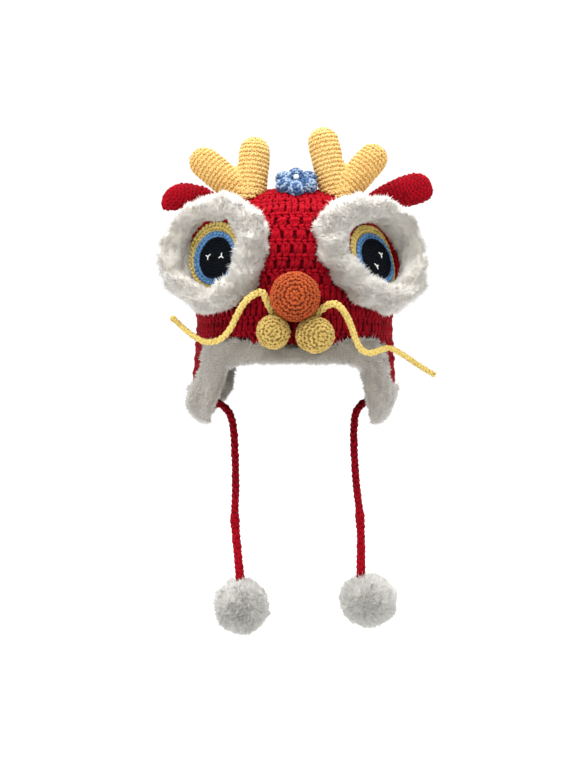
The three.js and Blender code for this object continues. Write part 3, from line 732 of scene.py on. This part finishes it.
def disc_of(node):
    """A flat CAD disc's middle, facing direction, radius and thickness."""
    co = points_of(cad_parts[node].data)
    middle = (co.max(0) + co.min(0)) / 2
    _, _, ways = np.linalg.svd(co - co.mean(0), full_matrices=False)
    facing = ways[2] if ways[2][1] < 0 else -ways[2]
    deep = (co - middle) @ facing
    middle = middle + facing * (deep.max() + deep.min()) / 2
    return middle, facing, np.linalg.norm(flattened(co - middle, facing), axis=1).max(), deep.max() - deep.min()


def crocheted_disc(node, row, stitch, shape, hidden=0.0):
    """A disc worked in rounds from its middle, with a chain round its edge. No stitches are
    laid inside the radius hidden, in mm, which the next disc covers."""
    middle, facing, radius, deep = disc_of(node)
    u, v = across_and_up(facing)
    placed = Matrix((*np.stack([u, v, facing, middle - facing * deep / 2], axis=1), (0, 0, 0, 1)))
    bm = bmesh.new()
    bmesh.ops.create_circle(bm, segments=48, radius=radius - 1.0 * mm, cap_ends=True, matrix=placed)
    grown = bmesh.ops.extrude_face_region(bm, geom=bm.faces[:])["geom"]
    moved = [g for g in grown if isinstance(g, bmesh.types.BMVert)]
    bmesh.ops.translate(bm, verts=moved, vec=facing * deep * 0.7)
    bmesh.ops.recalc_face_normals(bm, faces=bm.faces)
    # The disc's base has a low rise: painted shade under its stitches.
    parts = [as_part(shape_of(bm, rise=lambda co: 0.15))]
    places, axes, widths, edge = [], [], [], []
    ring, i = radius - 1.2 * mm, 0
    while ring > max(0.6 * row, hidden) * mm:
        n = max(3, round(2 * math.pi * ring / (stitch * mm)))
        for k in range(n):
            turn = 2 * math.pi * (k + 0.5 * (i % 2)) / n
            away = u * math.cos(turn) + v * math.sin(turn)
            places.append(middle + away * ring + facing * deep * 0.3)
            axes.append(np.stack([np.cross(-away, facing), -away, facing], axis=1))
            widths.append(2 * math.pi * ring / n)
            edge.append(i == 0)
        ring -= row * mm
        i += 1
    stitches, edge = (*map(np.array, (places, axes, widths)), row * mm), np.array(edge)
    chain = [(0, 0.08, 0.3, 24, 1.1), (0, -0.3, 0.0, -12, 1.0)]
    for which, pattern in ((~edge, pair(0, 50, 0.95)), (edge, chain)):
        parts += crochet(chosen(stitches, which), pattern, shape, wobble=0.8)
    return parts


lemon_yarn = yarn("lemon yarn", light=(216, 194, 112), dark=(160, 122, 56))
blue_yarn = yarn("light blue yarn", light=(90, 134, 178), dark=(26, 54, 102))
black_yarn = yarn("black yarn", light=(10, 14, 20), dark=(2, 3, 6), sheen=0.02, gloss=0.06)
white_thread = yarn("white thread", light=(246, 246, 242), dark=(216, 216, 210))
deep_red = yarn("red yarn inside", light=(140, 3, 20), dark=(82, 0, 10), sheen=0, patches=180, gloss=0.05)
disc_strand, fine_strand = strand(4.8, 2.5, 2.1), strand(4.2, 2.1, 1.7)
sparkle_strand = strand(3.4, 0.95, 0.9, dip=0.4, rings=4)
SPARKLES = {"left": ((-7.1, 1.1), (7.0, 0.6)), "right": ((5.2, 3.0), (-3.6, -7.4))}
SPARKLE_ARMS = {"left": ((40, 160, 265), (85, 205, 325)), "right": ((35, 140, 265), (20, 130, 285))}
OPEN_SIDE = {"left": (-0.94, 0.34, 11.0), "right": (0.94, 0.34, 20.0)}
BENT_BACK = {"left": 0.0, "right": 4.2}
COLLAR_REACH, PAD_REACH, PAD_FILLING = 42 * mm, 33.5 * mm, 4.5
DISCS = (
    ("eye_rim", 3.0, 3.9, disc_strand, 19, lemon_yarn, "lemon_yarn"),
    ("iris", 2.9, 3.7, disc_strand, 14, blue_yarn, "blue_yarn"),
    ("pupil", 2.6, 3.0, fine_strand, 0, black_yarn, "black_yarn"),
)


def reshaped(mesh, co):
    """The same mesh with its points moved to these places."""
    mesh.vertices.foreach_set("co", co.ravel())
    mesh.update()
    return mesh


def opened(mesh, side, filling=0.0):
    """A form round an eye, drawn off the eye on the side where the red pad shows: most near the
    eye's axis, none at the collar's outside. filling makes the pad wider, in mm, so that it
    fills the collar."""
    middle, facing, _, _ = disc_of(f"eye_rim_{side}")
    right, above = across_and_up(facing)
    across, up, by = OPEN_SIDE[side]
    co = points_of(mesh)
    away = flattened(co - middle, facing)
    out = np.linalg.norm(away, axis=1)
    away = unit(away)
    freed = np.clip((away @ (right * across + above * up) + 0.35) / 1.35, 0, 1) ** 0.7
    drawn = freed * np.clip(1 - out / COLLAR_REACH, 0, 1) * by * mm
    if filling:
        drawn += filling * mm * np.clip((out - 22 * mm) / (6 * mm), 0, 1)
        drawn = np.minimum(drawn, np.maximum(PAD_REACH - out, 0))
    return reshaped(mesh, co + away * drawn[:, None])


def draped(parts, side):
    """Flat crochet whose outer side bends back round the stuffed pad. The pad itself swells out
    again past it."""
    middle, facing, radius, _ = disc_of(f"eye_rim_{side}")
    right, _ = across_and_up(facing)
    bent = []
    for part in parts:
        away = part[0] - middle
        share = np.clip((away @ right / radius - 0.3) / 0.7, 0, 1.4) ** 2
        past = np.linalg.norm(flattened(away, facing), axis=1) - radius
        share = share * (1 - 0.9 * np.clip((past - 0.5 * mm) / (4 * mm), 0, 1))
        bent.append((part[0] - facing * (BENT_BACK[side] * mm * share)[:, None], *part[1:]))
    return bent


def sparkles(side):
    """The small white stitches on a pupil, each with three arms from its middle."""
    middle, facing, _, deep = disc_of(f"pupil_{side}")
    right, above = across_and_up(facing)
    parts = []
    for (across, up), arms in zip(SPARKLES[side], SPARKLE_ARMS[side]):
        at = middle + (right * across + above * up) * mm + facing * (deep / 2 + 0.9 * mm)
        crossing = (at[None], np.stack([right, above, facing], axis=1)[None], np.array([5 * mm]), 5 * mm)
        ways = [(math.cos(math.radians(arm)), math.sin(math.radians(arm))) for arm in arms]
        star = [(0.29 * x, 0.29 * y, 0, arm, 1.0) for (x, y), arm in zip(ways, arms)]
        parts += crochet(crossing, star, sparkle_strand, slot=1, wobble=0.5)
    return parts


for side in ("left", "right"):
    node = f"eye_pad_{side}"
    skin, core = (opened(skin_of(node, 2.2, shrink=by), side, PAD_FILLING) for by in (-1.2, -0.5))
    middle, facing, radius, _ = disc_of(f"eye_rim_{side}")
    stitches = rounds(tree_of(skin), middle - facing * 16 * mm, facing, 4.6, 5.0, sweep=130, far=60 * mm)
    away = stitches[0] - middle
    out = np.linalg.norm(flattened(away, facing), axis=1)
    shown = (out > radius + 0.5 * mm) & (out < PAD_REACH - 1 * mm) & (away @ facing > -7 * mm)
    parts = [base_part(core, 1), *crochet(chosen(stitches, shown), pair(-0.7, 56, 0.8), loop_strand)]
    pad = gathered(node, "crochet", draped(parts, side), [red_yarn, deep_red], "red_yarn")
    for kind, row, stitch, shape, hidden, material, slot in DISCS:
        node = f"{kind}_{side}"
        parts = crocheted_disc(node, row, stitch, shape, hidden)
        if kind == "pupil":
            parts += sparkles(side)
        materials = [material, white_thread] if kind == "pupil" else [material]
        gathered(node, "disc", draped(parts, side), materials, slot)


# The eye collars are thick rolls of white plush round the pads, worked with long pile that
# stands out all round and falls a little over the eyes.
OVER_THE_EYE = {"left": (1.0, -0.1, 0.75), "right": (-0.85, -0.5, 0.9)}
SWELLING, SWELLING_SIZE = 2.9, 19
SHORN_BY, FACES_OUT, THIN_WALL = 0.33, 0.2, 4 * mm
white_plush = plush("white plush")


def swollen(mesh, by, size):
    """A form with soft swellings, by mm high and about size mm across."""
    co = points_of(mesh)
    return reshaped(mesh, co + points_of(mesh, "normal") * (by * mm * sway(co, size)[:, :1]))


for side, (across, upwards, longer) in OVER_THE_EYE.items():
    node = f"eye_collar_{side}"
    eye, facing, _, _ = disc_of(f"iris_{side}")
    right, above = across_and_up(facing)
    over = right * across + above * upwards

    def shorn(places, out):
        """The pile is short on the collar's inner wall, so that the eye shows, but long where
        it falls over the eye."""
        away = unit(flattened(places - eye, facing))
        inwards = np.clip(-(away * out).sum(1) * 1.4, 0, 1)
        return 1 - inwards * (SHORN_BY - longer * np.clip((away @ over - 0.3) / 0.7, 0, 1))

    form = skin_of(node, 2.6, shrink=0.8, smooth=4, thicken=2.0)
    roll = opened(swollen(form, SWELLING, SWELLING_SIZE), side)
    roll_tree, co = tree_of(roll), points_of(roll)
    thinner = np.interp((co - eye) @ facing, [-14 * mm, 2 * mm], [0.1 * mm, 1.4 * mm])
    core = reshaped(roll.copy(), co - points_of(roll, "normal") * thinner[:, None])

    def deep_enough(places, out):
        """Whether the pile stands on the collar's outer side, or on a wall thick enough for it
        to be rooted in."""
        outer = (unit(flattened(places - eye, facing)) * out).sum(1) > FACES_OUT
        starts = places - out * 0.05 * mm
        thick = [roll_tree.ray_cast(Vector(p), Vector(-o), THIN_WALL)[0] is None for p, o in zip(starts, out)]
        return outer | np.array(thick)

    parts, lit = pile(
        core, roll, count=36000, length=4.5, width=1.45, sink=2.3, lean=0.5, ragged=0.32,
        wave=9, hang=(0, -0.1, -0.1), trim=shorn, kept=deep_enough,
    )
    gathered(node, "pile", parts, [white_plush], "white_plush", lit)


# The antlers are tubes of yellow cotton worked in short rounds and stuffed firmly. The outer
# prong is worked on to the inner one, and the open foot is sewn to the crown.
ANTLER_WIDEST, INNER_GOES_ON = 16.08, 26
ANTLERS = {
    "left": {"foot": (-37.5, -33, -6), "inner": (-33.8, -27, 34.8), "outer": (-76, -25, 26.5)},
    "right": {"foot": (35.5, -33, -5), "inner": (24.2, -27, 43), "outer": (65.5, -25, 29.5)},
}
yellow_yarn = yarn("yellow yarn", light=(222, 191, 122), dark=(198, 145, 76))
antler_strand = strand(4.5, 2.2, 2.2)
for side, at in ANTLERS.items():
    node = f"antler_{side}"
    tree = tree_of(skin_of(node, 1.8))
    # The base has rise 0.4: painted shade between the stitches, lighter than deep in the fabric.
    parts = [base_part(skin_of(node, 2.2, shrink=0.9), 0, rise=0.4)]
    foot = np.array(at["foot"], float)
    for prong, below in (("inner", INNER_GOES_ON), ("outer", 0)):
        tip = np.array(at[prong], float)
        stitches = rounds(
            tree, tip * mm, tip - foot, 3.75, 4.0, sweep=90, shaft=np.linalg.norm(tip - foot) + below,
            widest=ANTLER_WIDEST, far=30 * mm, ahead=(0, 1, 0),
        )
        worked = crochet(stitches, pair(-0.6, 56, 0.95, apart=0.24), antler_strand, wobble=1.5)
        # Painted shade: the outer prong is darker, most of all low down.
        if prong == "outer":
            worked = [shaded(part, heights=(-20, 30), tones=(-1.0, -0.4)) for part in worked]
        parts += worked
    antler = gathered(node, "crochet", parts, [yellow_yarn], "yellow_yarn")


# The ears are flat red paddles worked in rounds from the tip, lightly stuffed, and sewn to
# the sides of the crown above the collars.
EARS = {"left": ((-58, 6, -1), (-115, 10, 5)), "right": ((56, 6, -7), (119, 10, 14))}
ear_strand = strand(4.2, 2.3, 1.8)
for side, (root, tip) in EARS.items():
    node, way = f"ear_{side}", np.array(tip, float) - root
    low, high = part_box(node)
    stitches = rounds(
        tree_of(skin_of(node, 1.5)), (low + high) / 2, way, 3.2, 3.6, far=70 * mm, ahead=(0, 1, 0),
    )
    # The base has rise 0.3: painted shade between the stitches.
    parts = [base_part(skin_of(node, 2.0, shrink=0.4), 0, rise=0.3)]
    parts += crochet(stitches, pair(-0.85, 52, 1.05), ear_strand, wobble=0.8)
    ear = gathered(node, "crochet", parts, [red_yarn], "red_yarn")


# The flower over the forehead has six puffed petals of blue yarn dyed in light and dark
# lengths, sewn round a heart, with one pearly bead in the middle.
petal_strand = strand(4.4, 2.2, 2.2)
sky_yarn = yarn("flower light blue yarn", light=(144, 164, 188), dark=(80, 106, 142))
denim_yarn = yarn("flower dark blue yarn", light=(68, 98, 140), dark=(30, 50, 90))
FLOWER, FLOWER_TILT = np.array([1.3, -43.5, 7.6]) * mm, math.radians(36)
PETALS, PETAL_AWAY, PETAL_SIZE, PETAL_CORE = 6, 11 * mm, (8.2 * mm, 7.2 * mm, 6.4 * mm), 0.88
DARK_SHARE, HEART_SIZE, BEAD_SUNK = 0.42, 2.2, 1.2 * mm


def mesh_of(bm, name):
    """A bmesh as a mesh of this name."""
    mesh = bpy.data.meshes.new(name)
    bm.to_mesh(mesh)
    bm.free()
    return mesh


flower_right = np.array([1.0, 0, 0])
flower_up = np.array([0, -math.sin(FLOWER_TILT), math.cos(FLOWER_TILT)])
flower_back = np.cross(flower_up, flower_right)
parts = []
for k in range(PETALS):
    turn = 2 * math.pi * (k + 0.5) / PETALS
    away = flower_right * math.cos(turn) + flower_back * math.sin(turn)
    middle = FLOWER + away * PETAL_AWAY
    long, wide, high = PETAL_SIZE
    form = np.stack([away * long, np.cross(flower_up, away) * wide, flower_up * high, middle], axis=1)
    form = Matrix((*form, (0, 0, 0, 1)))
    skin, core = bmesh.new(), bmesh.new()
    for bm, size in ((skin, 1), (core, PETAL_CORE)):
        bmesh.ops.create_icosphere(bm, subdivisions=3, radius=size, matrix=form)
    tree = tree_of(mesh_of(skin, "petal form"))
    stitches = rounds(tree, middle, away * 0.6 + flower_up * 0.8, 3.3, 3.7, sweep=165, far=30 * mm)
    parts.append(base_part(mesh_of(core, "petal core"), 1))
    dark = chance.random(len(stitches[0])) < DARK_SHARE
    for which, slot in ((~dark, 0), (dark, 1)):
        parts += crochet(chosen(stitches, which), pair(-0.7, 50, 0.9, apart=0.22), petal_strand, slot)
heart = np.stack([flower_right, flower_back, flower_up], axis=1) * HEART_SIZE
parts.append(laid(petal_strand, (FLOWER + flower_up * 2 * mm)[None], heart[None], np.array([0.5]), slot=1))
gathered("flower", "crochet", parts, [sky_yarn, denim_yarn], "blue_yarn")

low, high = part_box("flower_bead")
bm = bmesh.new()
bmesh.ops.create_icosphere(bm, subdivisions=3, radius=(high.x - low.x) / 2.3)
bmesh.ops.translate(bm, verts=bm.verts, vec=(low + high) / 2 - Vector(flower_up) * BEAD_SUNK)
for f in bm.faces:
    f.smooth = True
pearl, _, _, shader = new_material("pearl")
set_inputs(shader, {"Base Color": linear(244, 242, 236), "Roughness": 0.22, "Coat Weight": 0.6})
bead = put_in_scene("flower_bead_pearl", mesh_of(bm, "flower_bead_pearl"))
bead.data.materials.append(pearl)
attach(bead, "root")
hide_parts("flower_bead")


# The nose and the two mouth balls are worked in rounds from the front, stuffed round and
# sewn to the face, so that the middle of their rounds looks ahead.
orange_yarn = yarn("orange yarn", light=(174, 78, 35), dark=(96, 37, 15))
ball_strand = strand(4.9, 2.4, 2.4, rings=4)
# The mouth balls' yarn is a darker copy of the lemon yarn: painted shade, low on the face.
shaded_ball_yarn = yarn("lemon yarn ball in painted shade", light=(188, 162, 92), dark=(128, 94, 42))
BALLS = {
    "nose": (orange_yarn, "orange_yarn", (0.0, -1.0, 0.02), 4.1, 4.4),
    "mouth_ball_left": (shaded_ball_yarn, "lemon_yarn", (-0.05, -1.0, 0.0), 3.8, 4.1),
    "mouth_ball_right": (shaded_ball_yarn, "lemon_yarn", (0.5, -1.0, -0.15), 3.8, 4.1),
}
for node, (material, slot, pole, row, stitch) in BALLS.items():
    low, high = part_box(node)
    stitches = rounds(tree_of(skin_of(node, 1.4)), (low + high) / 2, pole, row, stitch, far=40 * mm)
    parts = [base_part(skin_of(node, 2.2, shrink=0.9), 0)]
    parts += crochet(stitches, pair(-0.5, 50, 0.9), ball_strand, wobble=1.7)
    ball = gathered(node, "crochet", parts, [material], slot)


# The whiskers are thin cords of lemon yarn worked in short rounds over a wire, which holds
# their curve. They start between the nose and the mouth balls.
WHISKER_ROUTES = {
    "left": [
        (-15, -90, -106), (-20, -94.5, -99.5), (-23.3, -98, -92.5), (-26, -100.5, -87.6), (-32, -101, -88.7),
        (-40, -99, -95), (-46.5, -96, -105.5), (-52.3, -91, -116.5), (-60.7, -84, -124.5), (-71.8, -76, -126.4),
        (-81.8, -68, -122), (-91, -60, -115), (-100.5, -54, -106.5),
    ],
    "right": [
        (14.5, -90, -106.6), (20.8, -95, -101.2), (26.4, -98, -97.3), (32, -100, -96.6), (36.7, -100, -99.8),
        (41.6, -98, -106.9), (45.7, -96, -116.4), (49, -93, -125.2), (53.2, -89, -132.3), (59.9, -84, -135.4),
        (67.5, -78, -133.7), (76, -72, -131.1), (83.6, -67, -133.5), (93, -62, -139.1), (103.2, -58, -145.7),
        (114.2, -55, -152.2),
    ],
}
WHISKER_ROW = 2.9 * mm
WHISKER_TIPS = {"left": (2.7 * mm, 0.5), "right": (1.9 * mm, -0.6)}
whisker_strand = strand(5.4, 2.6, 1.2)


def whisker_radius(share, of=1.0):
    """A whisker's radius, which gets less towards its tip."""
    return (2.6 - 1.0 * share) * mm * of


for side, points in WHISKER_ROUTES.items():
    line = route(points, WHISKER_ROW)
    parts = [as_part(tube(line, lambda share: whisker_radius(share, of=0.85)))]
    stitches = along(line, whisker_radius, WHISKER_ROW, around=4)
    parts += crochet(stitches, pair(-0.4, 66, 0.95), whisker_strand, wobble=0.5)
    size, tone = WHISKER_TIPS[side]
    bm = bmesh.new()
    bmesh.ops.create_uvsphere(bm, u_segments=12, v_segments=8, radius=size, matrix=Matrix.Translation(line[-1]))
    parts.append(as_part(shape_of(bm), tone=tone))
    gathered(f"whisker_{side}", "cord", parts, [lemon_yarn], "lemon_yarn")


# The pompoms are balls of white plush yarn, wound and cut, and tied on to the ends of the
# ties.
pompom_plush = plush("white plush pompom", light=(248, 246, 236), dark=(206, 203, 190))
for side, points in TIE_ROUTES.items():
    node = f"pompom_{side}"
    (base, tufts), lit = pile(
        skin_of(node, 2.4, smooth=9), skin_of(node, 2.4, shrink=-1.5, smooth=9), count=11000,
        length=6.0, width=1.7, sink=3.0, lean=0.35, ragged=0.15, wave=10,
    )
    # Painted shade: the pompoms are darker towards the bottom.
    parts = [base, shaded(tufts, heights=(-372, -345), tones=(-1.1, 0.7))]
    pompom = gathered(node, "pile", parts, [pompom_plush], "white_plush", lit)
    line = route(points, TIE_ROW)


# The hat is shown hung up over a plain pale floor, a wide disc a little below its pompoms.
# The light is soft: a white room that is brighter in front and above, and two large lamps.
FLOOR_BELOW, FLOOR_RADIUS = 50 * mm, 9
bm = bmesh.new()
under_hat = Matrix.Translation((0, 0, cad_low.z - FLOOR_BELOW))
bmesh.ops.create_circle(bm, segments=64, radius=FLOOR_RADIUS, cap_ends=True, matrix=under_hat)
paper, _, _, shader = new_material("pale floor")
set_inputs(shader, {"Base Color": (0.78, 0.78, 0.78, 1), "Roughness": 0.9})
floor = put_in_scene("floor", mesh_of(bm, "floor"))
floor.data.materials.append(paper)
floor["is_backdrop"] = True

world = bpy.data.worlds.new("soft room")
bpy.context.scene.world = world
world.use_nodes = True
nodes, links = world.node_tree.nodes, world.node_tree.links
set_inputs(nodes["Background"], {"Color": (1, 1, 1, 1)})
whither, parted = nodes.new("ShaderNodeTexCoord"), nodes.new("ShaderNodeSeparateXYZ")
links.new(whither.outputs["Generated"], parted.inputs[0])
brightness = nodes.new("ShaderNodeMath")
RAMP = ("From Min", "From Max", "To Min", "To Max")
for which, (axis, *values) in enumerate((("Y", -0.5, 0.25, 0.45, 1.05), ("Z", 0.25, 1.0, 0.0, 1.6))):
    ramp = nodes.new("ShaderNodeMapRange")
    set_inputs(ramp, dict(zip(RAMP, values)))
    links.new(parted.outputs[axis], ramp.inputs["Value"])
    links.new(ramp.outputs["Result"], brightness.inputs[which])
links.new(brightness.outputs[0], nodes["Background"].inputs["Strength"])
LIT_PLACE = Vector((0, 0, -0.12))
for name, place, size, power in (("key", (-0.35, -0.9, 1.2), 0.8, 18), ("top", (0.1, 0.1, 1.3), 1.0, 14)):
    lamp = put_in_scene(name, bpy.data.lights.new(name, "AREA"))
    lamp.data.size, lamp.data.energy = size, power
    lamp.location = place
    lamp.rotation_euler = (LIT_PLACE - lamp.location).to_track_quat("-Z", "Y").to_euler()

low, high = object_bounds()
{"cad": [list(cad_low), list(cad_high)], "visual": [list(low), list(high)]}
